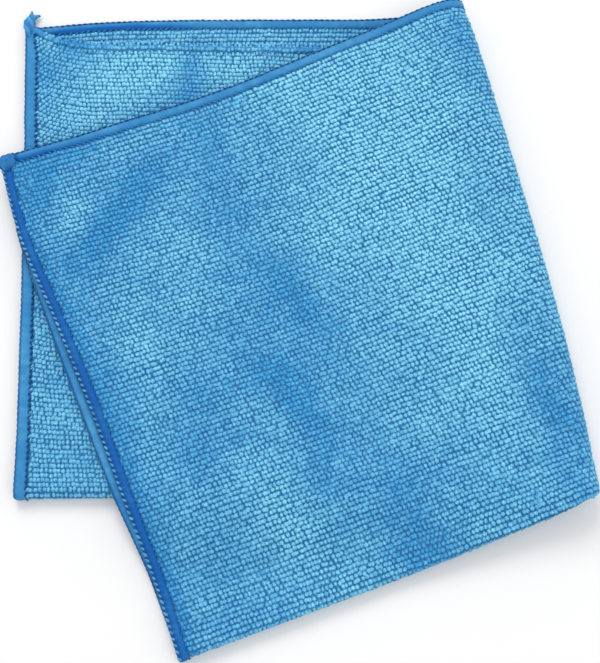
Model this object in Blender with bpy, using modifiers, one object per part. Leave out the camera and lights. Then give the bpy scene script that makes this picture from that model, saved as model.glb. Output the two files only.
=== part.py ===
"""Microfibre cloth, folded twice and laid flat. Metres, +Z up, lying on z = 0.

The sheet is measured by u along its top hem and v down from that hem. The first fold brings its bottom
half up behind, the second brings its right half over to the left at a slant, so four layers lie in the
middle. Place names: x runs along the top hem, y runs down from it, and the sheet starts at x = y = 0.
"""
from math import cos, pi, radians, sin

import bmesh
import bpy
import numpy as np

# The sheet, flat
WIDTH = 0.400
LENGTH = 0.410
THICK = 0.0020
BAND = 0.0040            # the overlocked edging's width
GAP = 0.0003             # between one piece and the next

# First fold, along the bottom
LAYER_STEP = 0.0028      # one layer's middle to the next
CREASE_1_RADIUS = 0.0020
CREASE_1_PUFF = 0.009    # how far in the layers take to settle

# Second fold, down the right
LEAN = radians(9.0)      # the crease's slant from the hem's perpendicular
CREASE_2_RADIUS = 0.0028
CREASE_2_PUFF = 0.014
OVER_STEP = 0.0030       # back half's upper layer to the front half's lower one
DRAPE_START = 0.0015     # outside the back half, where the front half starts down
DRAPE_RUN = 0.034

# Grid cells before, round and after each crease, and how far past the bend its fine cells reach
U_CELLS = (14, 14, 16)
V_CELLS = (16, 12, 16)
BEND_MARGIN = 0.002

# Each table holds rows of (place, value), in metres.
CREASE_1 = (  # u, the crease's v
    (0.00, 0.200),
    (0.10, 0.203),
    (0.20, 0.207),
    (0.30, 0.210),
    (0.40, 0.210),
)
HEM_SAG = (  # u, how far down the hems lie
    (0.000, 0.0020),
    (0.030, 0.0006),
    (0.080, 0.0016),
    (0.120, 0.0034),
    (0.155, 0.0044),
    (0.190, -0.0010),
    (0.240, 0.0000),
    (0.300, 0.0030),
    (0.360, 0.0015),
    (0.400, -0.0010),
)
HEM_STEP = (  # u, how far the upper layer's hem lies inside the lower one's
    (0.000, 0.0000),
    (0.005, 0.0008),
    (0.010, 0.0042),
    (0.020, 0.0085),
    (0.035, 0.0113),
    (0.060, 0.0120),
    (0.100, 0.0131),
    (0.150, 0.0137),
    (0.200, 0.0137),
    (0.250, 0.0155),
    (0.300, 0.0200),
    (0.350, 0.0258),
    (0.400, 0.0275),
)
BACK_LEFT = (  # y, the back half's left edge in x
    (0.00, -0.001),
    (0.07, -0.001),
    (0.14, -0.002),
    (0.22, -0.004),
)
CREASE_2 = (  # y, the crease's x
    (0.00, 0.179),
    (0.07, 0.194),
    (0.14, 0.208),
    (0.22, 0.2195),
)
FRONT_WIDTH = (  # y, the front half's width from crease to free edge
    (0.000, 0.1990),
    (0.035, 0.1975),
    (0.070, 0.1910),
    (0.105, 0.1850),
    (0.140, 0.1795),
    (0.175, 0.1730),
    (0.220, 0.1655),
)
UNDER_REACH = (  # y, how far the front half's lower layer shows past the upper one
    (0.000, 0.0000),
    (0.035, 0.0010),
    (0.070, 0.0035),
    (0.105, 0.0045),
    (0.140, 0.0040),
    (0.175, 0.0020),
    (0.220, 0.0000),
)
RIDGES = (  # x, y, heading in degrees below +x, half length, half width, height
    (0.145, 0.105, 62.0, 0.070, 0.016, 0.0014),
    (0.075, 0.165, 70.0, 0.060, 0.018, 0.0012),
    (0.185, 0.060, 70.0, 0.050, 0.014, 0.0010),
    (0.045, 0.028, 95.0, 0.030, 0.014, 0.0010),
)
TAIL = (  # x, y, radius of the thread tail, from the hem's corner to the tip
    (0.0012, -0.0006, 0.0012),
    (0.0012, -0.0028, 0.0018),
    (0.0018, -0.0058, 0.0013),
    (0.0018, -0.0090, 0.0005),
)

COLOURS = {
    "cloth": (0.115, 0.420, 0.640, 1.0),
    "edging": (0.070, 0.310, 0.640, 1.0),
    "thread_tail": (0.070, 0.310, 0.640, 1.0),
}


def smooth(t):
    t = np.clip(t, 0.0, 1.0)
    return t * t * (3 - 2 * t)


def along(table, at):
    """The table's value at each place, on a smooth curve through its rows."""
    places, values = np.array(table).T
    slopes = np.gradient(values, places)
    at = np.clip(at, places[0], places[-1])
    i = np.clip(np.searchsorted(places, at, side="right") - 1, 0, len(places) - 2)
    step = places[i + 1] - places[i]
    t = (at - places[i]) / step
    start = (1 + 2 * t) * (1 - t) ** 2 * values[i] + t * (1 - t) ** 2 * step * slopes[i]
    end = t * t * (3 - 2 * t) * values[i + 1] + t * t * (t - 1) * step * slopes[i + 1]
    return start + end


def layer_step(inside):
    """Between the two layers' middles, by how far inside the first crease."""
    return LAYER_STEP + (2 * CREASE_1_RADIUS - LAYER_STEP) * np.exp(-((inside / CREASE_1_PUFF) ** 2))


def fold_once(u, v):
    """y in the once-folded sheet, how far round the crease (0 lower, 1 upper), and the layers' step."""
    crease = along(CREASE_1, u)
    arc = pi * CREASE_1_RADIUS
    angle = np.clip((v - crease) / CREASE_1_RADIUS, 0, pi)
    past = np.maximum(v - crease - arc, 0)
    up = past * (crease - along(HEM_STEP, u)) / (LENGTH - crease - arc)
    y = np.minimum(v, crease) + CREASE_1_RADIUS * np.sin(angle) - up
    inside = np.maximum(crease - y, 0)
    y = y + along(HEM_SAG, u) * smooth(inside / crease)
    return y, (1 - np.cos(angle)) / 2, layer_step(inside)


def back_cover(x, y):
    """How much the back half holds up what lies at x, y: 1 over it, 0 on the table."""
    crease = along(CREASE_1, x) + CREASE_1_RADIUS
    outside = np.maximum(y - crease, along(BACK_LEFT, y) - x) - DRAPE_START
    return 1 - smooth(outside / DRAPE_RUN)


def ridges(x, y):
    total = 0.0
    for at_x, at_y, heading, half_length, half_width, height in RIDGES:
        c, s = cos(radians(heading)), sin(radians(heading))
        on = ((x - at_x) * c + (y - at_y) * s) / half_length
        off = ((y - at_y) * c - (x - at_x) * s) / half_width
        total = total + height * np.exp(-(on**2) - off**2)
    return total


def bend_2(turn, step):
    """The second crease's radius and middle height for a layer."""
    outer = CREASE_2_RADIUS + step
    return outer - turn * step, THICK / 2 + outer


def place(u, v):
    """Where the sheet's middle lies at u, v, as x, y, z rows."""
    y, turn, step = fold_once(u, v)
    start = along(CREASE_2, y)
    left = along(BACK_LEFT, y)
    radius, middle = bend_2(turn, step)
    arc = pi * radius / cos(LEAN)
    s = u - start
    bend = np.clip(s, 0, arc)
    angle = bend * cos(LEAN) / radius
    over = np.maximum(s - arc, 0) / (WIDTH - start - arc)
    over = over * (along(FRONT_WIDTH, y) + turn * along(UNDER_REACH, y))
    x = start + np.minimum(s, 0) * (start - left) / start
    x = x + radius * np.sin(angle) * cos(LEAN) + bend * sin(LEAN) ** 2 - over * cos(2 * LEAN)
    down = y - radius * np.sin(angle) * sin(LEAN) + bend * sin(LEAN) * cos(LEAN) + over * sin(2 * LEAN)

    cover = back_cover(x, down)
    under = layer_step(np.maximum(along(CREASE_1, x) - down, 0))
    rest = THICK / 2 + cover * (under + OVER_STEP) + (1 - turn) * step
    puff = np.exp(-((over / CREASE_2_PUFF) ** 2))
    front = (middle + radius) * puff + rest * (1 - puff)
    z = np.where(s <= 0, THICK / 2 + turn * step, np.where(s < arc, middle - radius * np.cos(angle), front))
    loose = turn + (1 - turn * (1 - cover) - turn) * smooth(angle / pi)
    return np.stack([x, -down, z + loose * ridges(x, down)], axis=-1)


def spread(index, cells, stops):
    """The place of each grid line: evenly between each stop and the next."""
    first, second = cells[0], cells[0] + cells[1]
    a = stops[0] + (stops[1] - stops[0]) * index / first
    b = stops[1] + (stops[2] - stops[1]) * (index - first) / cells[1]
    c = stops[2] + (stops[3] - stops[2]) * (index - second) / cells[2]
    return np.where(index <= first, a, np.where(index <= second, b, c))


def sheet_lines(i, j, inset):
    """u and v of grid line crossings, with the fine cells following both creases."""
    u = WIDTH * i / sum(U_CELLS)
    v = LENGTH * j / sum(V_CELLS)
    for _ in range(3):
        crease = along(CREASE_1, u)
        bend = pi * CREASE_1_RADIUS + BEND_MARGIN
        v = spread(j, V_CELLS, (inset, crease - BEND_MARGIN, crease + bend, LENGTH - inset))
        y, turn, step = fold_once(u, v)
        start = along(CREASE_2, y)
        bend = pi * bend_2(turn, step)[0] / cos(LEAN) + BEND_MARGIN
        u = spread(i, U_CELLS, (inset, start - BEND_MARGIN, start + bend, WIDTH - inset))
    return u, v


def add_sheet(name, border):
    """A grid laid on the folded sheet and thickened: the panel inside the edging, or the edging alone."""
    extra = 2 if border else 0
    across, down = sum(U_CELLS) + extra, sum(V_CELLS) + extra
    bpy.ops.mesh.primitive_grid_add(x_subdivisions=across, y_subdivisions=down, size=1)
    obj = bpy.context.object
    obj.name = obj.data.name = name
    flat = np.array([vertex.co[:2] for vertex in obj.data.vertices])
    i = np.rint((flat[:, 0] + 0.5) * across)
    j = np.rint((0.5 - flat[:, 1]) * down)
    if border:
        inner_i, inner_j = np.clip(i - 1, 0, across - 2), np.clip(j - 1, 0, down - 2)
        u, v = sheet_lines(inner_i, inner_j, BAND)
        u = np.where(i == 0, 0, np.where(i == across, WIDTH, u))
        v = np.where(j == 0, 0, np.where(j == down, LENGTH, v))
    else:
        u, v = sheet_lines(i, j, BAND + GAP)
    for vertex, co in zip(obj.data.vertices, place(u, v)):
        vertex.co = co
    if border:
        keep_rim(obj, i, j, across, down)
    skin = obj.modifiers.new("thickness", "SOLIDIFY")
    skin.thickness = THICK
    skin.offset = 0
    return obj


def keep_rim(obj, i, j, across, down):
    """Leaves only the grid's outermost ring of cells."""
    work = bmesh.new()
    work.from_mesh(obj.data)
    inner = []
    for face in work.faces:
        corners = [vertex.index for vertex in face.verts]
        sides = (i[corners].max() <= 1, i[corners].min() >= across - 1)
        ends = (j[corners].max() <= 1, j[corners].min() >= down - 1)
        if not any(sides + ends):
            inner.append(face)
    bmesh.ops.delete(work, geom=inner, context="FACES")
    work.to_mesh(obj.data)
    work.free()


def add_tail(name):
    """The tapered end of overlock thread, lying on the table past the corner."""
    data = bpy.data.curves.new(name, "CURVE")
    data.dimensions = "3D"
    data.bevel_depth = 1.0
    data.bevel_resolution = 3
    data.resolution_u = 4
    data.use_fill_caps = True
    path = data.splines.new("BEZIER")
    path.bezier_points.add(len(TAIL) - 1)
    corner = place(np.array(0.0), np.array(0.0))
    for point, (x, y, radius) in zip(path.bezier_points, TAIL):
        point.co = (corner[0] + x, corner[1] - y, max(radius, THICK / 2))
        point.radius = radius
        point.handle_left_type = point.handle_right_type = "AUTO"
    obj = bpy.data.objects.new(name, data)
    bpy.context.collection.objects.link(obj)
    bpy.ops.object.select_all(action="DESELECT")
    obj.select_set(True)
    bpy.context.view_layer.objects.active = obj
    bpy.ops.object.convert(target="MESH")
    return bpy.context.object


def paint(obj):
    material = bpy.data.materials.new(obj.name)
    material.use_nodes = True
    shader = material.node_tree.nodes["Principled BSDF"]
    shader.inputs["Base Color"].default_value = COLOURS[obj.name]
    shader.inputs["Roughness"].default_value = 0.9
    obj.data.materials.append(material)


def centre(objects):
    """Moves the cloth so that the middle of its bottom is the origin."""
    bpy.context.view_layer.update()
    graph = bpy.context.evaluated_depsgraph_get()
    corners = np.array([corner[:] for obj in objects for corner in obj.evaluated_get(graph).bound_box])
    low, high = corners.min(axis=0), corners.max(axis=0)
    shift = -np.array([(low[0] + high[0]) / 2, (low[1] + high[1]) / 2, low[2]])
    for obj in objects:
        for vertex in obj.data.vertices:
            vertex.co = np.array(vertex.co) + shift


for old in list(bpy.data.objects):
    bpy.data.objects.remove(old)
group = bpy.data.collections.new("microfibre_cloth")
bpy.context.scene.collection.children.link(group)
pieces = [add_sheet("cloth", False), add_sheet("edging", True), add_tail("thread_tail")]
for piece in pieces:
    for holder in list(piece.users_collection):
        holder.objects.unlink(piece)
    group.objects.link(piece)
    paint(piece)
centre(pieces)
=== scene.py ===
"""Microfibre cloth: terry loops, overlocked edging and a thread tail on the CAD model's folded sheet."""
from math import cos, pi, radians, sin

import bpy
import numpy as np
from mathutils import Matrix, Vector


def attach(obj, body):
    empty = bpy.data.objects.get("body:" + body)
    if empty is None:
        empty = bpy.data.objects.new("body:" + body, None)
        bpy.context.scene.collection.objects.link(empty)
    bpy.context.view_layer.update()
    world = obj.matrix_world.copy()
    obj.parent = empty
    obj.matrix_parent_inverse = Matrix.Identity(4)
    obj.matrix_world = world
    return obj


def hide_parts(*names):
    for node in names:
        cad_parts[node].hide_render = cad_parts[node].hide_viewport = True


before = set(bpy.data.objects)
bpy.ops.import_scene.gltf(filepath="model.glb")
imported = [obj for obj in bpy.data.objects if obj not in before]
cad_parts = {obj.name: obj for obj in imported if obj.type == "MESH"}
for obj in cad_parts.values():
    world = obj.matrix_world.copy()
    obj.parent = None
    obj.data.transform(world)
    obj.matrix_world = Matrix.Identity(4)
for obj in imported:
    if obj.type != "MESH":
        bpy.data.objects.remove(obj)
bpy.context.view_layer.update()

# ---------------------------------------------------------------- the folded sheet, as in the CAD model
WIDTH, LENGTH, THICK = 0.400, 0.410, 0.0020
BAND = 0.0040            # the edging's width
LAYER_STEP = 0.0028      # from one layer's middle to the next
CREASE_1_RADIUS, CREASE_1_PUFF = 0.0020, 0.009    # the first fold, and how far in it holds the layers apart
LEAN = radians(9.0)      # how far the second fold is turned from the sheet's sides
CREASE_2_RADIUS, CREASE_2_PUFF = 0.0028, 0.014
OVER_STEP, DRAPE_START, DRAPE_RUN = 0.0030, 0.0015, 0.034   # how the front half steps off the back half
CENTRE = (0.1079, 0.1300)      # the sheet's x and y at the model's origin

CREASE_1 = ((0.00, 0.200), (0.10, 0.203), (0.20, 0.207), (0.30, 0.210), (0.40, 0.210))
HEM_SAG = (
    (0.000, 0.0020), (0.030, 0.0006), (0.080, 0.0016), (0.120, 0.0034), (0.155, 0.0044),
    (0.190, -0.0010), (0.240, 0.0000), (0.300, 0.0030), (0.360, 0.0015), (0.400, -0.0010),
)
HEM_STEP = (
    (0.000, 0.0000), (0.005, 0.0008), (0.010, 0.0042), (0.020, 0.0085), (0.035, 0.0113),
    (0.060, 0.0120), (0.100, 0.0131), (0.150, 0.0137), (0.200, 0.0137), (0.250, 0.0155),
    (0.300, 0.0200), (0.350, 0.0258), (0.400, 0.0275),
)
BACK_LEFT = ((0.00, -0.001), (0.07, -0.001), (0.14, -0.002), (0.22, -0.004))
CREASE_2 = ((0.00, 0.179), (0.07, 0.194), (0.14, 0.208), (0.22, 0.2195))
FRONT_WIDTH = (
    (0.000, 0.1990), (0.035, 0.1975), (0.070, 0.1910), (0.105, 0.1850),
    (0.140, 0.1795), (0.175, 0.1730), (0.220, 0.1655),
)
UNDER_REACH = (
    (0.000, 0.0000), (0.035, 0.0010), (0.070, 0.0035), (0.105, 0.0045),
    (0.140, 0.0040), (0.175, 0.0020), (0.220, 0.0000),
)
RIDGES = (  # x, y, heading in degrees below +x, half length, half width, height
    (0.145, 0.105, 62.0, 0.070, 0.016, 0.0014),
    (0.075, 0.165, 70.0, 0.060, 0.018, 0.0012),
    (0.185, 0.060, 70.0, 0.050, 0.014, 0.0010),
    (0.045, 0.028, 95.0, 0.030, 0.014, 0.0010),
)

# ---------------------------------------------------------------- what the CAD model leaves out
BASE = 0.0009            # the knitted base between the two faces of loops
ROW, COLUMN = 0.00196, 0.00163
COLUMN_LEAN = -0.16      # how far the columns drift along u for each step in v
LOOP_HEIGHT = 0.00064
STITCH = 0.0024          # the overlock's stitch length
BAND_HALF = 0.0021
BAND_BULGE = 0.0013
SIDE_END = 0.215         # the v at which the front's free side reaches the first fold
KNOB, KNOB_RADIUS = (0.3972, 0.0026), 0.0035   # u, v and size of the thick knob at the front's free corner
KNOB_LIFT, KNOB_SLOPE = 0.0010, 0.0012
HEM_LIFT = 0.0006        # how much higher the loops stand where they reach over the lower hem
ON_TABLE = 0.00002       # the lowest that any thread lies

FOLD_CORNERS = (  # x, y, how far the sheet is drawn in, reach
    (0.1855, 0.0000, -0.0010, 0.0018, 0.0110),
    (0.2255, 0.2110, -0.0020, -0.0006, 0.0130),
)

# where the pile is painted darker (-) or lighter (+): painted sheen of the nap, and painted shade along the
# second fold and round the front's curled corner
NAP_AND_SHADE_FRONT = (  # x, y, heading, half length, half width, change
    (0.160, 0.105, 70.0, 0.100, 0.050, 0.20),
    (0.004, 0.079, 74.0, 0.024, 0.006, -0.50),
    (0.002, 0.0690, 40.0, 0.010, 0.007, -0.80),
    (0.016, 0.0625, -18.0, 0.024, 0.005, -0.55),
    (0.150, 0.055, 68.0, 0.075, 0.036, 0.42),
    (0.178, 0.140, 75.0, 0.055, 0.014, 0.30),
    (0.036, 0.094, 128.0, 0.036, 0.009, -0.62),
    (0.078, 0.055, 92.0, 0.024, 0.008, -0.30),
    (0.018, 0.068, 30.0, 0.022, 0.008, -0.30),
    (0.112, 0.130, 60.0, 0.032, 0.009, -0.40),
    (0.104, 0.162, 55.0, 0.026, 0.010, -0.46),
    (0.118, 0.188, 78.0, 0.026, 0.010, -0.30),
    (0.146, 0.202, 68.0, 0.034, 0.014, -0.30),
    (0.162, 0.232, 40.0, 0.020, 0.010, -0.35),
    (0.036, 0.168, 75.0, 0.030, 0.008, -0.42),
    (0.052, 0.232, 72.0, 0.030, 0.008, -0.45),
    (0.088, 0.108, 60.0, 0.024, 0.010, -0.36),
    (0.072, 0.186, 70.0, 0.030, 0.014, -0.26),
    (0.101, 0.214, 58.0, 0.024, 0.012, 0.38),
    (0.064, 0.112, 82.0, 0.026, 0.010, 0.20),
    (0.050, 0.155, 80.0, 0.028, 0.012, 0.16),
    (0.024, 0.088, 105.0, 0.016, 0.008, 0.22),
    (0.183, 0.084, 80.0, 0.015, 0.008, -0.28),
    (0.206, 0.174, 77.0, 0.036, 0.010, -0.34),
    (0.183, 0.020, 75.0, 0.034, 0.007, -0.34),
    (0.214, 0.188, 77.0, 0.030, 0.010, -0.12),
    (0.115, 0.048, 70.0, 0.026, 0.018, 0.14),
    (0.022, 0.147, 80.0, 0.013, 0.006, -0.45),
    (0.124, 0.104, 65.0, 0.016, 0.010, 0.16),
)
NAP_AND_SHADE_BACK = (
    (0.044, 0.028, 148.0, 0.028, 0.011, 0.56),
    (0.088, 0.028, 130.0, 0.016, 0.009, 0.42),
    (0.069, 0.028, 94.0, 0.018, 0.005, -0.40),
    (0.010, 0.010, 60.0, 0.008, 0.005, 0.40),
    (0.018, 0.013, 60.0, 0.008, 0.005, -0.40),
    (0.050, 0.050, 155.0, 0.040, 0.007, -0.30),
    (0.008, 0.024, 90.0, 0.014, 0.010, -0.30),
)

# colours, each with its place on a ramp
# terry ramps by loop height: painted shade low between the loops, painted highlight at the tips; the dark
# and light ramps are the nap's shaded and lit patches
TERRY_DARK = ((0.0, (0.010, 0.120, 0.340)), (0.45, (0.028, 0.245, 0.550)), (0.92, (0.050, 0.365, 0.730)))
TERRY_LIGHT = ((0.0, (0.050, 0.300, 0.520)), (0.45, (0.150, 0.515, 0.750)), (0.92, (0.275, 0.725, 0.925)))
FUZZ = ((0.32, (0.50, 0.62, 0.74)), (0.68, (1.45, 1.32, 1.18)))
# the knit ground's colours, dark as painted shade between the loops
KNIT_IN_SHADE = ((0.0, (0.018, 0.135, 0.350)), (1.0, (0.060, 0.300, 0.560)))
# thread colour by tone, light to dark; the dark end is painted shade down the front's free side and on the
# hems' inner halves
THREAD = (
    (0.0, (0.220, 0.590, 0.880)), (0.25, (0.080, 0.368, 0.680)),
    (0.45, (0.038, 0.262, 0.570)), (1.0, (0.000, 0.122, 0.455)),
)
STRANDS = ((0.2, (0.86, 0.87, 0.90)), (0.8, (1.08, 1.07, 1.04)))
# the colour of painted shade in the thread's gaps
THREAD_GAP_SHADE = (0.002, 0.035, 0.150, 1.0)
SHEEN_TINT = (0.55, 0.80, 1.0, 1.0)

rng = np.random.default_rng(7)


def smooth(t):
    """An even rise from 0 to 1 while t goes from 0 to 1."""
    t = np.clip(t, 0.0, 1.0)
    return t * t * (3 - 2 * t)


def along(table, at):
    """The table's value at each place, on a smooth curve through its rows."""
    places, values = np.array(table).T
    slopes = np.gradient(values, places)
    at = np.clip(at, places[0], places[-1])
    i = np.clip(np.searchsorted(places, at, side="right") - 1, 0, len(places) - 2)
    step = places[i + 1] - places[i]
    t = (at - places[i]) / step
    start = (1 + 2 * t) * (1 - t) ** 2 * values[i] + t * (1 - t) ** 2 * step * slopes[i]
    end = t * t * (3 - 2 * t) * values[i + 1] + t * t * (t - 1) * step * slopes[i + 1]
    return start + end


def layer_step(inside):
    """The height from the lower layer to the upper one, this far in from the first fold."""
    return LAYER_STEP + (2 * CREASE_1_RADIUS - LAYER_STEP) * np.exp(-((inside / CREASE_1_PUFF) ** 2))


def fold_once(u, v):
    """y in the once-folded sheet, how far round the crease (0 lower, 1 upper), and the layers' step."""
    crease = along(CREASE_1, u)
    arc = pi * CREASE_1_RADIUS
    angle = np.clip((v - crease) / CREASE_1_RADIUS, 0, pi)
    past = np.maximum(v - crease - arc, 0)
    up = past * (crease - along(HEM_STEP, u)) / (LENGTH - crease - arc)
    y = np.minimum(v, crease) + CREASE_1_RADIUS * np.sin(angle) - up
    inside = np.maximum(crease - y, 0)
    y = y + along(HEM_SAG, u) * smooth(inside / crease)
    return y, (1 - np.cos(angle)) / 2, layer_step(inside)


def back_cover(x, y):
    """How far the back half lifts what lies on it: 1 over it, falling to 0 past its edge."""
    crease = along(CREASE_1, x) + CREASE_1_RADIUS
    outside = np.maximum(y - crease, along(BACK_LEFT, y) - x) - DRAPE_START
    return 1 - smooth(outside / DRAPE_RUN)


def spots(table, x, y):
    """The sum of soft oblong spots: ridges, or changes in the nap."""
    total = 0.0
    for at_x, at_y, heading, half_length, half_width, size in table:
        c, s = cos(radians(heading)), sin(radians(heading))
        on = ((x - at_x) * c + (y - at_y) * s) / half_length
        off = ((y - at_y) * c - (x - at_x) * s) / half_width
        total = total + size * np.exp(-(on**2) - off**2)
    return total


def bend_2(turn, step):
    """The second fold's radius for this layer, and the height of the fold's axis."""
    outer = CREASE_2_RADIUS + step
    return outer - turn * step, THICK / 2 + outer


def place(u, v):
    """Where the sheet's middle lies at u, v: x to the right, y down, z up."""
    y, turn, step = fold_once(u, v)
    start = along(CREASE_2, y)
    left = along(BACK_LEFT, y)
    radius, middle = bend_2(turn, step)
    arc = pi * radius / cos(LEAN)
    s = u - start
    bend = np.clip(s, 0, arc)
    angle = bend * cos(LEAN) / radius
    over = np.maximum(s - arc, 0) / (WIDTH - start - arc)
    over = over * (along(FRONT_WIDTH, y) + turn * along(UNDER_REACH, y))
    x = start + np.minimum(s, 0) * (start - left) / start
    x = x + radius * np.sin(angle) * cos(LEAN) + bend * sin(LEAN) ** 2 - over * cos(2 * LEAN)
    down = y - radius * np.sin(angle) * sin(LEAN) + bend * sin(LEAN) * cos(LEAN) + over * sin(2 * LEAN)
    cover = back_cover(x, down)
    under = layer_step(np.maximum(along(CREASE_1, x) - down, 0))
    rest = THICK / 2 + cover * (under + OVER_STEP) + (1 - turn) * step
    puff = np.exp(-((over / CREASE_2_PUFF) ** 2))
    front = (middle + radius) * puff + rest * (1 - puff)
    z = np.where(s <= 0, THICK / 2 + turn * step, np.where(s < arc, middle - radius * np.cos(angle), front))
    loose = turn + (1 - turn * (1 - cover) - turn) * smooth(angle / pi)
    return x, down, z + loose * spots(RIDGES, x, down)


def from_knob(u, v):
    """The distance from the knob's middle."""
    return np.hypot(u - KNOB[0], v - KNOB[1])


def lay(u, v):
    """place() in the model's frame, with soft fold corners and the knob at the front's free corner."""
    x, y, z = place(u, v)
    for at_x, at_y, move_x, move_y, reach in FOLD_CORNERS:
        near = np.exp(-((x - at_x) ** 2 + (y - at_y) ** 2) / reach**2)
        x, y = x + move_x * near, y + move_y * near
    z = z + KNOB_LIFT * smooth((KNOB_RADIUS + 0.0002 - from_knob(u, v)) / KNOB_SLOPE)
    return np.stack([x - CENTRE[0], CENTRE[1] - y, z], axis=-1)


def surface(u, v):
    """Points with unit directions along u, along v, and out of the looped face that shows on top."""
    near = 0.0003
    by_u = lay(u + near, v) - lay(u - near, v)
    by_v = lay(u, v + near) - lay(u, v - near)
    out = np.cross(by_u, by_v)
    out /= np.linalg.norm(out, axis=-1, keepdims=True)
    by_u /= np.linalg.norm(by_u, axis=-1, keepdims=True)
    by_v = np.cross(out, by_u)
    return lay(u, v), by_u, by_v, out


def on_table(points):
    """The points with what would go below the table pressed flat on it."""
    return np.concatenate([points[..., :2], np.maximum(points[..., 2:], ON_TABLE)], axis=-1)


def blotches(u, v, size, seed):
    """Smooth random values from -1 to 1 over the sheet."""
    span, margin = 0.50, 0.02
    count = int(span / size) + 3
    cells = np.random.default_rng(seed).uniform(-1, 1, (count, count))
    a, b = (np.clip(part + margin, 0, span - margin) / size for part in (u, v))
    i, j = a.astype(int), b.astype(int)
    p, q = smooth(a - i), smooth(b - j)
    top = cells[i, j] * (1 - p) + cells[i + 1, j] * p
    return top * (1 - q) + (cells[i, j + 1] * (1 - p) + cells[i + 1, j + 1] * p) * q


# ---------------------------------------------------------------- meshes
def make_mesh(name, points, faces, maps, material):
    """An object from arrays of points and same-sided faces, with UV maps given point by point."""
    mesh = bpy.data.meshes.new(name)
    sides = faces.shape[-1]
    points = points.reshape(-1, 3)
    mesh.vertices.add(len(points))
    mesh.vertices.foreach_set("co", np.ascontiguousarray(points, np.float32).ravel())
    mesh.loops.add(faces.size)
    mesh.loops.foreach_set("vertex_index", faces.ravel().astype(np.int32))
    mesh.polygons.add(faces.size // sides)
    mesh.polygons.foreach_set("loop_start", np.arange(0, faces.size, sides, dtype=np.int32))
    mesh.update(calc_edges=True)
    mesh.validate()
    for key, values in maps.items():
        layer = mesh.uv_layers.new(name=key, do_init=False)
        values = values.reshape(-1, 2)[faces.ravel()]
        layer.data.foreach_set("uv", np.ascontiguousarray(values, np.float32).ravel())
    mesh.shade_smooth()
    mesh.materials.append(material)
    obj = bpy.data.objects.new(name, mesh)
    bpy.context.scene.collection.objects.link(obj)
    return obj


def thread_maps(run, across, tone, gap):
    """UV maps for thread: the way along and across its strands, then its tone and its share of painted gap
    shade.
    """
    tone, gap = np.clip(tone, 0, 1), np.clip(gap, 0, 1)
    run, across, tone, gap = np.broadcast_arrays(run, across, tone, gap)
    return {"seam": np.stack([run, across], axis=-1), "shade": np.stack([tone, gap], axis=-1)}


def wall_faces(k, n, rings, sides):
    """The triangles between columns k and n of a stack of rings."""
    faces = []
    for low in range(0, sides * (rings - 1), sides):
        faces += [(low + k, low + n, low + sides + n), (low + k, low + sides + n, low + sides + k)]
    return faces


def ring_faces(rings, sides, closed):
    """Quads between rings of points, one after another."""
    i = np.arange(rings if closed else rings - 1)[:, None]
    k = np.arange(sides)[None, :]
    a, b = i * sides + k, i * sides + (k + 1) % sides
    c, d = ((i + 1) % rings) * sides + (k + 1) % sides, ((i + 1) % rings) * sides + k
    return np.stack([a, b, c, d], axis=-1).reshape(-1, 4)


def inside(points, fence):
    """Which points lie inside a closed outline, and how far each is from it."""
    x, y = points[:, 0:1], points[:, 1:2]
    x0, y0 = fence[:, 0][None], fence[:, 1][None]
    x1, y1 = np.roll(x0, -1, 1), np.roll(y0, -1, 1)
    crossed = ((y0 > y) != (y1 > y)) & (x < (x1 - x0) * (y - y0) / (y1 - y0 + 1e-12) + x0)
    t = ((x - x0) * (x1 - x0) + (y - y0) * (y1 - y0)) / ((x1 - x0) ** 2 + (y1 - y0) ** 2 + 1e-12)
    t = np.clip(t, 0, 1)
    gap = np.hypot(x - x0 - t * (x1 - x0), y - y0 - t * (y1 - y0)).min(axis=1)
    return crossed.sum(axis=1) % 2 == 1, gap


def outline(front):
    """The outline from above of the back half or of the front half."""
    t = np.linspace(0, 1, 40)
    far = WIDTH if front else 0.0
    crease = along(CREASE_1, far) + CREASE_1_RADIUS * pi / 2
    v = t * crease
    to_bend = 0.009
    fold = along(CREASE_2, v) + to_bend
    u = fold[0] + (far - fold[0]) * t
    low = fold[-1] + (far - fold[-1]) * t[::-1]
    runs = (lay(u, 0 * u), lay(far + 0 * v, v), lay(low, crease + 0 * low), lay(fold, v)[::-1])
    return np.concatenate([run[:, :2] for run in runs])


def nap_and_shade(u, v):
    """How light the loops are painted, by the nap's painted sheen and painted shade: 0 dark, 1 light."""
    x, y, _ = place(u, v)
    to_bend, lowest = 0.008, 0.21
    front = u > along(CREASE_2, np.minimum(v, lowest)) + to_bend
    level = 0.5 + np.where(front, spots(NAP_AND_SHADE_FRONT, x, y), spots(NAP_AND_SHADE_BACK, x, y))
    level = level + 0.10 * blotches(u, v, 0.022, 3) + 0.10 * blotches(u + v * 0.5, v, 0.008, 4)
    # painted shade on the pile beside the front's free-side band
    shade_beside_band = smooth((u - WIDTH + 0.0085) / 0.002) * (v < SIDE_END)
    level = level - 0.35 * shade_beside_band
    return np.clip(level + 0.08 * blotches(u, v, 0.004, 5), 0.0, 1.0)


# ---------------------------------------------------------------- materials
def new_material(name, roughness, sheen=0.0):
    """A dull woven material, with its node tree and shader."""
    material = bpy.data.materials.new(name)
    material.use_nodes = True
    tree = material.node_tree
    shader = tree.nodes["Principled BSDF"]
    shader.inputs["Roughness"].default_value = roughness
    shader.inputs["Specular IOR Level"].default_value = 0.25
    shader.inputs["Sheen Weight"].default_value = sheen
    shader.inputs["Sheen Roughness"].default_value = 0.5
    shader.inputs["Sheen Tint"].default_value = SHEEN_TINT
    return material, tree, shader


def node(tree, kind, **settings):
    made = tree.nodes.new(kind)
    for key, value in settings.items():
        setattr(made, key, value)
    return made


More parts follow.
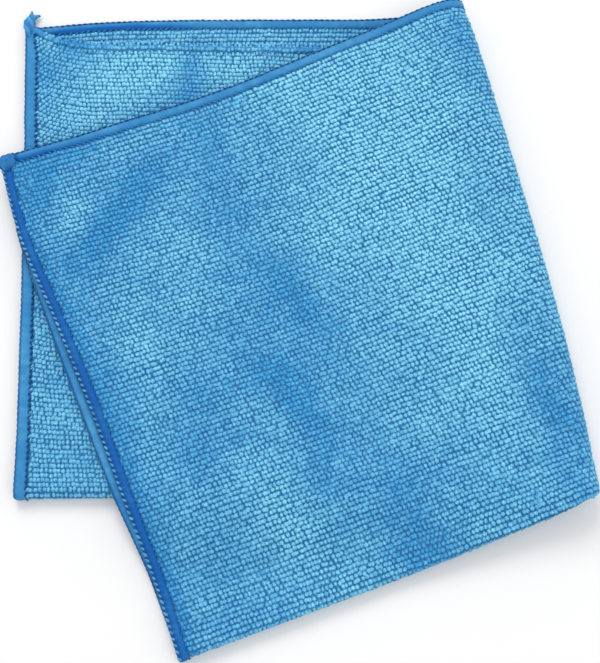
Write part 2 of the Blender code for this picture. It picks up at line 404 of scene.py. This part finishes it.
def uv_parts(tree, name):
    """A UV map, with its first and second values."""
    source = node(tree, "ShaderNodeUVMap", uv_map=name)
    parts = node(tree, "ShaderNodeSeparateXYZ")
    tree.links.new(source.outputs[0], parts.inputs[0])
    return source, parts.outputs[0], parts.outputs[1]


def ramp(tree, factor, stops):
    """The colour at this factor, between stops of (place, colour)."""
    made = node(tree, "ShaderNodeValToRGB")
    elements = made.color_ramp.elements
    while len(elements) < len(stops):
        elements.new(0.5)
    for element, (at, colour) in zip(elements, stops):
        element.position = at
        element.color = (*colour, 1.0)
    tree.links.new(factor, made.inputs[0])
    return made.outputs[0]


def mixed(tree, blend, factor, a, b):
    """Two colours blended, each a socket or a fixed value."""
    made = node(tree, "ShaderNodeMix", data_type="RGBA", blend_type=blend)
    for socket, value in ((made.inputs[0], factor), (made.inputs[6], a), (made.inputs[7], b)):
        if isinstance(value, bpy.types.NodeSocket):
            tree.links.new(value, socket)
        else:
            socket.default_value = value
    return made.outputs[2]


def bump(tree, shader, height, strength, distance):
    """Fine relief in the shading."""
    made = node(tree, "ShaderNodeBump")
    made.inputs["Strength"].default_value = strength
    made.inputs["Distance"].default_value = distance
    tree.links.new(height, made.inputs["Height"])
    tree.links.new(made.outputs[0], shader.inputs["Normal"])


def terry_material():
    """Loops: painted shade between them and painted highlight at their tips, over the nap's slow changes of
    painted sheen and shade.
    """
    material, tree, shader = new_material("terry", 0.85, 0.25)
    _, painted_loop_shade, level = uv_parts(tree, "loop")
    dark = ramp(tree, painted_loop_shade, TERRY_DARK)
    light = ramp(tree, painted_loop_shade, TERRY_LIGHT)
    fibre = node(tree, "ShaderNodeTexNoise")
    fibre.inputs["Scale"].default_value = 2300.0
    fibre.inputs["Detail"].default_value = 3.0
    where = node(tree, "ShaderNodeTexCoord")
    tree.links.new(where.outputs["Object"], fibre.inputs["Vector"])
    colour = mixed(tree, "MIX", level, dark, light)
    fuzz = ramp(tree, fibre.outputs[0], FUZZ)
    tree.links.new(mixed(tree, "MULTIPLY", 1.0, colour, fuzz), shader.inputs["Base Color"])
    bump(tree, shader, fibre.outputs[0], 0.35, 0.0002)
    return material


def knit_wave(tree, direction, pitch):
    """A wave texture with its bands this far apart: it has 20 / (2 pi) bands for each unit of scale."""
    wave = node(tree, "ShaderNodeTexWave", bands_direction=direction)
    wave.inputs["Scale"].default_value = 2 * pi / pitch / 20
    wave.inputs["Distortion"].default_value = 0.6
    return wave


def base_material():
    """The knitted ground under the loops, with its rows and columns, coloured dark as painted shade in the
    deep gaps between loops.
    """
    material, tree, shader = new_material("knit_base", 0.9, 0.1)
    source, _, _ = uv_parts(tree, "sheet")
    rows, columns = knit_wave(tree, "Y", ROW), knit_wave(tree, "X", COLUMN)
    for wave in (rows, columns):
        tree.links.new(source.outputs[0], wave.inputs["Vector"])
    knit = mixed(tree, "MULTIPLY", 1.0, rows.outputs[0], columns.outputs[0])
    tree.links.new(ramp(tree, knit, KNIT_IN_SHADE), shader.inputs["Base Color"])
    bump(tree, shader, knit, 0.5, 0.0004)
    return material


def thread_material():
    """Overlock thread: fine strands across the band, with painted shade where the stitches part."""
    material, tree, shader = new_material("edging_thread", 0.7, 0.06)
    source, _, _ = uv_parts(tree, "seam")
    _, tone, gap = uv_parts(tree, "shade")
    strands = node(tree, "ShaderNodeTexWave", bands_direction="X")
    strands.inputs["Scale"].default_value = 2.2
    strands.inputs["Distortion"].default_value = 1.2
    strands.inputs["Detail"].default_value = 2.0
    tree.links.new(source.outputs[0], strands.inputs["Vector"])
    lines = ramp(tree, strands.outputs[0], STRANDS)
    colour = mixed(tree, "MULTIPLY", 1.0, ramp(tree, tone, THREAD), lines)
    colour = mixed(tree, "MIX", gap, colour, THREAD_GAP_SHADE)
    tree.links.new(colour, shader.inputs["Base Color"])
    bump(tree, shader, strands.outputs[0], 0.35, 0.0002)
    return material


# ---------------------------------------------------------------- the cloth
def add_base(material):
    """The knitted base, one thin sheet folded as the CAD solid is."""
    cells_u, cells_v = (56, 30, 56), (56, 22, 56)
    across, down = sum(cells_u), sum(cells_v)
    i, j = np.meshgrid(np.arange(across + 1), np.arange(down + 1))
    i, j = i.ravel(), j.ravel()
    rim, margin = 0.0012, 0.002
    u, v = WIDTH * i / across, LENGTH * j / down
    for _ in range(3):     # the cells' lines settle along both folds, which depend on each other
        crease = along(CREASE_1, u)
        stops = (rim, crease - margin, crease + pi * CREASE_1_RADIUS + margin, LENGTH - rim)
        v = spread(j, cells_v, stops)
        y, turn, step = fold_once(u, v)
        start = along(CREASE_2, y)
        end = start + pi * bend_2(turn, step)[0] / cos(LEAN)
        u = spread(i, cells_u, (rim, start - margin, end + margin, WIDTH - rim))
    a = (np.arange(down)[:, None] * (across + 1) + np.arange(across)[None]).ravel()
    faces = np.stack([a, a + across + 1, a + across + 2, a + 1], axis=-1)
    flat = np.stack([u, v], axis=-1)
    obj = make_mesh("microfibre_cloth", lay(u, v), faces, {"sheet": flat}, material)
    skin = obj.modifiers.new("thickness", "SOLIDIFY")
    skin.thickness = BASE
    skin.offset = 0
    return obj


def spread(index, cells, stops):
    """Places of a grid's lines: three runs of cells, from stop to stop."""
    first, second = cells[0], cells[0] + cells[1]
    a = stops[0] + (stops[1] - stops[0]) * index / first
    b = stops[1] + (stops[2] - stops[1]) * (index - first) / cells[1]
    c = stops[2] + (stops[3] - stops[2]) * (index - second) / cells[2]
    return np.where(index <= first, a, np.where(index <= second, b, c))


def loop_places():
    """The lattice that the loops are knitted on, a little uneven. It reaches over the lower hem's band."""
    edge = BAND + 0.0004
    rows = np.arange(edge + ROW / 2, LENGTH - 0.0006, ROW)
    columns = np.arange(edge, WIDTH - edge, COLUMN)
    u, v = np.meshgrid(columns, rows)
    u = edge + np.mod(u - edge + COLUMN_LEAN * v, WIDTH - 2 * edge)
    u, v = u.ravel(), v.ravel()
    on_lower_hem = (u > 0.009) & (u < WIDTH / 2)
    beside_left_band = u > edge + 0.002 * (widened(u, v) - 1)
    keep = ((v < LENGTH - edge) | on_lower_hem) & beside_left_band
    u, v = u[keep], v[keep]
    u = u + rng.normal(0, 0.00014, u.shape) + 0.0003 * blotches(u, v, 0.012, 11)
    v = v + rng.normal(0, 0.00011, u.shape) + 0.0004 * blotches(u, v, 0.012, 12)
    return u, v


def loop_template(rings):
    """A rounded bead, from rings of (reach, height): points across, along and up, its faces."""
    sides = 5
    turn = np.arange(sides) * 2 * pi / sides
    points = [(r * cos(t), r * sin(t), h) for r, h in rings for t in turn] + [(0.0, 0.0, 1.0)]
    top = sides * (len(rings) - 1)
    faces = []
    for k in range(sides):
        n = (k + 1) % sides
        faces += wall_faces(k, n, len(rings), sides) + [(top + k, top + n, len(points) - 1)]
    return np.array(points), np.array(faces)


def varied(size, share, low, high, count):
    """The size for each loop, varied at random by about this share of it."""
    return size * np.clip(rng.normal(1, share, count), low, high)[:, None]


def add_loops(name, u, v, side, rings, material):
    """Loops standing on one face of the sheet: side 1 is the face that shows on top, -1 the other."""
    points, faces = loop_template(rings)
    at, by_u, by_v, out = surface(u, v)
    out = out * side
    count = len(u)
    spin = rng.uniform(0, 2 * pi, count)[:, None]
    c, s = np.cos(spin), np.sin(spin)
    a = points[:, 0] * c - points[:, 1] * s
    b = points[:, 0] * s + points[:, 1] * c
    wide = varied(COLUMN * 0.61, 0.12, 0.6, 1.4, count)
    long = varied(ROW * 0.55, 0.08, 0.7, 1.3, count)
    tall = varied(LOOP_HEIGHT, 0.16, 0.6, 1.4, count)
    to_edge = LENGTH - v
    over_hem = smooth((BAND + 0.0006 - to_edge) / 0.001) * (1 - 0.5 * smooth((0.0030 - to_edge) / 0.002))
    up = BASE * 0.35 + points[:, 2] * tall + HEM_LIFT * over_hem[:, None]
    lean_u = rng.normal(0.10, 0.20, count)[:, None] * up
    lean_v = rng.normal(0.10, 0.13, count)[:, None] * up
    where = on_table(
        at[:, None]
        + (a * wide + lean_u)[..., None] * by_u[:, None]
        + (b * long + lean_v)[..., None] * by_v[:, None]
        + up[..., None] * out[:, None]
    )
    index = faces[None] + (np.arange(count) * len(points))[:, None, None]
    if side < 0:
        index = index[..., ::-1]
    # loops that reach over the lower hem are painted darker as shade where they overhang it
    level = np.clip(nap_and_shade(u, v) + rng.normal(0, 0.07, count) - 0.35 * over_hem, 0, 1)
    # painted shade and highlight by height on each loop: dark low between the loops, light at the tip, with
    # a little speckle
    painted_loop_shade = points[:, 2][None] * rng.normal(0.95, 0.10, count)[:, None]
    painted_loop_shade = np.clip(painted_loop_shade + rng.normal(0, 0.10, painted_loop_shade.shape), 0, 1)
    shade = np.stack([painted_loop_shade, np.broadcast_to(level[:, None], painted_loop_shade.shape)], axis=-1)
    return make_mesh(name, where, index, {"loop": shade}, material)


def add_pile(material):
    """Loops on every face that shows; none where another layer covers them."""
    u, v = loop_places()
    crease = along(CREASE_1, u)
    bend = crease + pi * CREASE_1_RADIUS
    y, turn, step = fold_once(u, v)
    fold = along(CREASE_2, y)
    on_front = u > fold + pi * bend_2(turn, step)[0] / cos(LEAN)
    on_back = u < fold
    lower = v < crease
    upper = v > bend
    at = lay(u, v)
    under_front, front_gap = inside(at[:, :2], outline(True))
    over_back, back_gap = inside(at[:, :2], outline(False))
    covered, hem_reach, split = 0.012, 0.008, 0.10
    hidden_upper = upper & on_back & under_front & (front_gap > covered)
    hidden_under = upper & on_front & over_back & (back_gap > covered)
    hidden_bend = upper & ~on_front & ~on_back
    shown = ~(hidden_upper | hidden_under | hidden_bend)
    top = shown & lower & ~on_back
    below = shown & lower & on_back
    full, plain = ((1.0, 0.0), (0.92, 0.50), (0.52, 0.90)), ((1.0, 0.0), (0.86, 0.65))
    open_below = on_front & (~over_back | (back_gap < hem_reach))
    strip = lower & (v < along(HEM_STEP, u) + hem_reach) & (on_back | open_below)
    strip |= lower & on_front & ~over_back & (u > WIDTH - 0.03) & (v < 0.05)
    return [
        add_loops(name, u[chosen], v[chosen], side, rings, material)
        for name, chosen, side, rings in (
            ("pile_front_upper", top & (v < split), 1, full),
            ("pile_front_lower", top & (v >= split), 1, full),
            ("pile_underside_upper", below & (v < split), 1, plain),
            ("pile_underside_lower", below & (v >= split), 1, plain),
            ("pile_back", shown & ~lower & ~on_front, 1, full),
            ("pile_under_front", shown & ~lower & on_front, 1, plain),
            ("pile_hem_strip", strip, -1, full),
        )
    ]


def edge_path(step):
    """Round the sheet along the band's middle: u, v, outward direction, and distance run."""
    turn = 0.0023
    lap = BAND_HALF + turn
    right, bottom = WIDTH - lap, LENGTH - lap
    corners = ((right, lap, -90), (right, bottom, 0), (lap, bottom, 90), (lap, lap, 180))
    points = []
    for k, (cu, cv, start) in enumerate(corners):
        pu, pv, _ = corners[k - 1]
        out = radians(start)
        run = abs(cu - pu) + abs(cv - pv)
        out_u, out_v = turn * cos(out), turn * sin(out)
        for t in np.arange(0, run, step) / run:
            points.append((pu + (cu - pu) * t + out_u, pv + (cv - pv) * t + out_v, out))
        for t in np.arange(0, pi / 2, step / turn):
            points.append((cu + turn * cos(out + t), cv + turn * sin(out + t), out + t))
    u, v, out = np.array(points).T
    gone = np.hypot(np.diff(u, prepend=u[0]), np.diff(v, prepend=v[0])).cumsum()
    return u, v, np.cos(out), np.sin(out), gone


def band_shade(u, v):
    """Painted shade on the edging: all of it down the front's free side, turned from the light, and the
    inner half of two hems; a little darker tone on the knob.
    """
    knob = smooth((KNOB_RADIUS + 0.0004 - from_knob(u, v)) / 0.0008)
    side = smooth((u - WIDTH + 0.012) / 0.006) * (v < SIDE_END) * smooth((v - 0.003) / 0.004) * (1 - knob)
    front = smooth((u - WIDTH + 0.07) / 0.06) * (v < 0.01) * (1 - side) * 0.7
    back = smooth((0.09 - u) / 0.05) * smooth((u - 0.006) / 0.01) * (v < 0.01)
    return side + 0.15 * knob, np.maximum(front, back)


def widened(u, v):
    """How much wider the band's inner half is down the back's left side: 1 elsewhere."""
    corner = 0.006
    between = smooth((v - corner) / corner) * smooth((LENGTH - corner - v) / corner)
    return 1 + 0.42 * smooth((0.010 - u) / 0.003) * between


def add_edging(material):
    """The overlocked band: a flattened tube of thread round the edge, notched by each stitch."""
    u, v, nu, nv, gone = edge_path(0.0004)
    sides = 14
    stitch = gone / STITCH
    phase = stitch - np.floor(stitch)
    tooth = (1 - np.abs(2 * phase - 1)) ** 1.2
    wander = 0.00018 * blotches(u, v, 0.009, 21)
    angle = np.arange(sides) * 2 * pi / sides
    c, s = np.cos(angle)[None], np.sin(angle)[None]
    outer, inner = smooth((c - 0.42) / 0.4), smooth((-c - 0.55) / 0.4)
    reach = BAND_HALF * np.sign(c) * np.abs(c) ** 0.85 + outer * (0.00026 * tooth + wander)[:, None]
    slanted = (stitch[:, None] + 0.25 * s) % 1.0
    zigzag = (1 - np.abs(2 * slanted - 1)) - 0.5
    wider = widened(u, v)[:, None]
    reach = reach * np.where(c < 0, wider, 1)
    reach = reach - inner * (0.00055 * zigzag + 0.0002 * blotches(u, v, 0.0016, 24)[:, None])
    swell = 1 + 0.05 * np.cos(2 * pi * (stitch[:, None] + 0.15 * c))
    swell = swell + 0.06 * blotches(u, v, 0.006, 22)[:, None]
    under_pile = smooth((v - LENGTH + 0.005) / 0.001) * smooth((u - 0.006) / 0.004) * (u < WIDTH / 2)
    bulge = BAND_BULGE * np.sign(s) * np.abs(s) ** 0.8 * swell * (1 - 0.3 * under_pile)[:, None]
    uu = u[:, None] + reach * nu[:, None]
    vv = v[:, None] + reach * nv[:, None]
    at, _, _, out = surface(uu, vv)
    points = on_table(at + bulge[..., None] * out)
    side, hem_shade = band_shade(uu, vv)
    tone = 0.42 + 0.12 * blotches(u, v, 0.015, 23)[:, None] + 0.10 * blotches(uu, vv, 0.0022, 25)
    shows = np.where((u > WIDTH / 2)[:, None], s, -s) > -0.6
    # painted shade: all down the front's free side, and on the inner half of two hems
    tone = tone + 0.56 * side + hem_shade * smooth((0.35 - c) / 0.9) * shows * 0.9
    # painted shadow in the notches between stitch teeth, painted shade in the inner zigzag groove, and a
    # painted crescent of shadow round the knob
    notched = np.maximum(outer * 0.9, side * smooth((c + 0.15) / 0.5) * 0.6)
    valley_shadow = smooth((0.80 - tooth) / 0.3)[:, None] * notched
    groove_shade = inner * smooth((zigzag - 0.05) / 0.3) * (wider - 0.5)
    past_knob = from_knob(uu, vv) - KNOB_RADIUS
    crescent_shadow = np.exp(-(((past_knob - 0.0009) / 0.0009) ** 2)) * (c < 0.8) * 0.75
    gap = np.maximum(np.maximum(valley_shadow, groove_shade), crescent_shadow)
    maps = thread_maps(stitch[:, None] + 0.45 * c, angle / 2 / pi, tone, gap)
    return make_mesh("overlocked_edging", points, ring_faces(len(u), sides, True), maps, material)


def stitch_template(sides=6):
    """A short tapering length of thread along x, with its faces."""
    rings = ((-0.9, 0.45), (-0.3, 1.0), (0.3, 1.0), (0.9, 0.45))
    angle = np.arange(sides) * 2 * pi / sides
    body = [(t, r * cos(a), r * sin(a)) for t, r in rings for a in angle] + [(-1, 0, 0), (1, 0, 0)]
    last = sides * (len(rings) - 1)
    faces = []
    for k in range(sides):
        n = (k + 1) % sides
        faces += wall_faces(k, n, len(rings), sides)
        faces += [(len(body) - 2, n, k), (len(body) - 1, last + k, last + n)]
    return np.array(body), np.array(faces)


NEEDLE_KINDS = (  # slant in degrees, half length, radius, tone
    (40.0, 0.0010, 0.00034, 1.60),
    (40.0, 0.0009, 0.00026, 0.45),
    (40.0, 0.0009, 0.00026, 0.45),
    (40.0, 0.0009, 0.00026, 0.75),
)
# tones past 1 paint the outer border's dashes dark as shadow between the stitch bumps
LOOP_KINDS = (
    (-10.0, 0.0007, 0.00022, 1.20),
    (-8.0, 0.0009, 0.00040, 1.80),
    (-8.0, 0.0009, 0.00026, 1.15),
    (-35.0, 0.0010, 0.00046, 0.22),
)


def add_stitches(name, phase, reach, height, kinds, material):
    """One row of thread per face round the sheet: reach out from the band's middle, height off the sheet.
    kinds has a row each for the left side, the near and far plain edges and the front's side painted dark
    as shade: slant in degrees, half length, radius, and tone, which past 1 adds painted shade as dark as a
    gap."""
    body, faces = stitch_template()
    u, v, nu, nv, gone = edge_path(STITCH / 12)
    pick = np.searchsorted(gone, np.arange(phase * STITCH, gone[-1], STITCH))
    u, v, nu, nv = (part[pick] for part in (u, v, nu, nv))
    dark, _ = band_shade(u, v)
    plain, left, far = 1 - dark, u < 0.005, v > LENGTH / 2
    share = np.stack([plain * left, plain * ~left * ~far, plain * ~left * far, dark], axis=1)
    slant, half_length, radius, tone = (share @ np.array(kinds)).T
    points, shades, index = [], [], []
    for side in (1, -1):
        off = reach * (widened(u, v) if reach < 0 else 1) + rng.normal(0, 0.00005, len(u))
        at, by_u, by_v, out = surface(u + off * nu, v + off * nv)
        outward = by_u * nu[:, None] + by_v * nv[:, None]
        runs = by_u * -nv[:, None] + by_v * nu[:, None]
        turn = np.radians(slant + rng.normal(0, 7, len(u)))[:, None]
        axis = runs * np.cos(turn) + outward * np.sin(turn)
        across = runs * -np.sin(turn) + outward * np.cos(turn)
        out = out * side
        size = rng.normal(1, 0.08, len(u))
        long, thick = (half_length * size)[:, None, None], (radius * size)[:, None, None]
        points.append(
            (at + out * height)[:, None]
            + body[None, :, 0:1] * long * axis[:, None]
            + body[None, :, 1:2] * thick * across[:, None]
            + body[None, :, 2:3] * thick * out[:, None]
        )
        shades.append(tone + rng.normal(0, 0.05, len(u)))
        order = faces if side > 0 else faces[:, ::-1]
        first = (np.arange(len(u)) + (side < 0) * len(u)) * len(body)
        index.append(order[None] + first[:, None, None])
    points, shades = on_table(np.concatenate(points)), np.concatenate(shades)[:, None]
    maps = thread_maps(body[None, :, 0] * 2, 0.0, shades, shades - 1)
    return make_mesh(name, points, np.concatenate(index), maps, material)


def add_knob(material):
    """The thread wrapped over the front's free corner, with painted shadow round its inner side and painted
    shade between the wraps.
    """
    rings, sides = 12, 28
    share = np.repeat(np.linspace(0.04, 1.0, rings), sides)
    turn = np.tile(np.arange(sides) * 2 * pi / sides, rings)
    square = (np.abs(np.cos(turn)) ** 3 + np.abs(np.sin(turn)) ** 3) ** (-1 / 3)
    wide = KNOB_RADIUS * 0.90 * square * (1 + 0.03 * np.sin(9 * turn) + 0.03 * np.cos(2 * turn))
    u = KNOB[0] - 0.0003 + wide * share * np.cos(turn)
    v = KNOB[1] + 0.0003 + wide * share * np.sin(turn)
    at, _, _, out = surface(u, v)
    wraps = np.cos(2 * pi * (u + v - KNOB[0] - KNOB[1] + 0.2 * (u - v)) / 0.0013)
    height = 0.0002 + 0.0014 * np.maximum(1 - share**3, 0) ** 0.6 + 0.00014 * wraps * (1 - share)
    points = at + height[:, None] * out
    tone = 0.62 + 0.22 * wraps + 0.16 * blotches(u, v, 0.0012, 31)
    inner = smooth(np.cos(turn - 3 * pi / 4))
    # painted shadow round the rim, most on the inner side, and painted shade in the hollows between the
    # wraps
    gap = smooth((share - 0.74) / 0.2) * (0.30 + 0.65 * inner) + 0.3 * smooth((-wraps - 0.5) / 0.4)
    maps = thread_maps((u + v) / 0.0011, (u - v) / 0.004, tone, gap)
    return make_mesh("corner_knob", points, ring_faces(rings, sides, False), maps, material)


def tube(path, radii, sides):
    """Points and quads of a tapering tube, open at both ends, where its radii shrink to almost nothing."""
    path = np.array(path)
    ahead = np.gradient(path, axis=0)
    ahead /= np.linalg.norm(ahead, axis=1, keepdims=True)
    side = np.cross(ahead, (0.0, 0.0, 1.0))
    side /= np.linalg.norm(side, axis=1, keepdims=True) + 1e-9
    lift = np.cross(side, ahead)
    angle = np.arange(sides) * 2 * pi / sides
    radii = np.array(radii)[:, None, None]
    ring = np.cos(angle)[None, :, None] * side[:, None] + np.sin(angle)[None, :, None] * lift[:, None]
    return (path[:, None] + ring * radii).reshape(-1, 3), ring_faces(len(path), sides, False)


def curve_through(rows, count):
    """Smoothly spaced x, y, z and radius between the table's rows."""
    rows = np.array(rows)
    place_in = np.linspace(0, 1, len(rows))
    t = np.linspace(0, 1, count)
    return np.stack([along(np.stack([place_in, column], axis=1), t) for column in rows.T], axis=1)


TAIL = (  # x right of the corner, y above it, z, radius of the bundle
    (0.0016, -0.0056, 0.0046, 0.0007),
    (0.0016, -0.0030, 0.0054, 0.0014),
    (0.0015, 0.0000, 0.0046, 0.0021),
    (0.0018, 0.0026, 0.0030, 0.0020),
    (0.0022, 0.0050, 0.0020, 0.0013),
    (0.0021, 0.0068, 0.0014, 0.0007),
    (0.0020, 0.0084, 0.0010, 0.0003),
)
TAIL_SPUR = (
    (0.0024, 0.0042, 0.0022, 0.0011),
    (0.0040, 0.0054, 0.0016, 0.0009),
    (0.0056, 0.0062, 0.0012, 0.0005),
)


def add_tail(material):
    """The chain of thread that runs off the corner: twisted strands, with one short spur."""
    corner = lay(np.array(0.0), np.array(0.0)) * (1, 1, 0)
    sides, tip_radius = 8, 0.00006
    around = np.arange(sides) / sides
    points, faces, maps, start = [], [], [], 0
    for rows, strands, turns, count in ((TAIL, 4, 1.6, 56), (TAIL_SPUR, 3, 0.7, 24)):
        middle = curve_through(rows, count)
        t = np.linspace(0, 1, count)
        for k in range(strands):
            angle = 2 * pi * (k / strands + turns * t)
            off = middle[:, 3] * 0.52
            path = middle[:, :3] + corner
            path[:, 0] += off * np.cos(angle)
            path[:, 1] += off * np.cos(angle) * -0.3
            path[:, 2] = np.maximum(path[:, 2] + off * np.sin(angle), middle[:, 3] * 0.6)
            radii = middle[:, 3] * 0.62 * (1 + 0.10 * np.sin(2 * pi * 9 * t + k))
            radii[0] = radii[-1] = tip_radius
            made, quads = tube(path, radii, sides)
            points.append(made)
            faces.append(quads + start)
            start += len(made)
            maps.append(thread_maps(t[:, None] * 9 + around * 1.5, around, 0.30 + 0.35 * (k % 2), 0.0))
    joined = {key: np.concatenate([part[key] for part in maps]) for key in ("seam", "shade")}
    points, faces = np.concatenate(points), np.concatenate(faces)
    return make_mesh("overlock_thread_tail", points, faces, joined, material)


terry, base, thread = terry_material(), base_material(), thread_material()
sheet = add_base(base)
pile = add_pile(terry)
edging = add_edging(thread)
stitches = [
    add_stitches("needle_stitches", 0.0, -0.0021, 0.0011, NEEDLE_KINDS, thread),
    add_stitches("edge_loops", 0.5, 0.00155, 0.0010, LOOP_KINDS, thread),
    add_knob(thread),
]
tail = add_tail(thread)

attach(sheet, "root")
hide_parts("cloth")
for piece in pile:
    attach(piece, "root")
for piece in (edging, *stitches, tail):
    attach(piece, "root")
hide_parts("edging")
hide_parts("thread_tail")


# ---------------------------------------------------------------- floor, light and camera
def add_stage():
    """A plain pale floor, just under the cloth."""
    bpy.ops.mesh.primitive_plane_add(size=6.0, location=(0, 0, -0.0002))
    floor = bpy.context.object
    floor.name = "floor"
    material, _, shader = new_material("pale_floor", 0.9)
    shader.inputs["Base Color"].default_value = (0.92, 0.92, 0.92, 1.0)
    floor.data.materials.append(material)


def add_light(name, energy, size, at):
    """A soft round light that shines at the cloth."""
    data = bpy.data.lights.new(name, "AREA")
    data.energy = energy
    data.shape = "DISK"
    data.size = size
    light = bpy.data.objects.new(name, data)
    light.location = at
    light.rotation_euler = (-Vector(at)).to_track_quat("-Z", "Y").to_euler()
    bpy.context.scene.collection.objects.link(light)


def add_camera():
    """Nearly straight above, from a little below the sheet's front."""
    data = bpy.data.cameras.new("camera")
    data.lens = 68.85
    data.sensor_width = 36.0
    camera = bpy.data.objects.new("camera", data)
    tilt, swing, roll, far = radians(13.0), radians(2.58), radians(-2.25), 0.5126
    back = Vector((sin(swing) * sin(tilt), -cos(swing) * sin(tilt), cos(tilt)))
    target = Vector((0.1108 - CENTRE[0], CENTRE[1] - 0.1395, 0.0))
    ahead = -back
    right = ahead.cross(Vector((0, 1, 0))).normalized()
    up = right.cross(ahead)
    right, up = cos(roll) * right + sin(roll) * up, cos(roll) * up - sin(roll) * right
    turned = Matrix((right, up, back)).transposed().to_4x4()
    camera.matrix_world = Matrix.Translation(target + far * back) @ turned
    bpy.context.scene.collection.objects.link(camera)
    bpy.context.scene.camera = camera


def add_world():
    """Even white light from all round."""
    world = bpy.data.worlds.new("studio")
    bpy.context.scene.world = world
    world.use_nodes = True
    background = world.node_tree.nodes["Background"]
    background.inputs["Color"].default_value = (1.0, 1.0, 1.0, 1.0)
    background.inputs["Strength"].default_value = 0.76


add_stage()
add_camera()
add_light("key", 10.5, 0.9, (-0.25, 1.1, 1.2))
add_light("fill", 4.0, 1.4, (0.6, -0.7, 1.5))
add_world()
bpy.context.scene.view_settings.view_transform = "Standard"
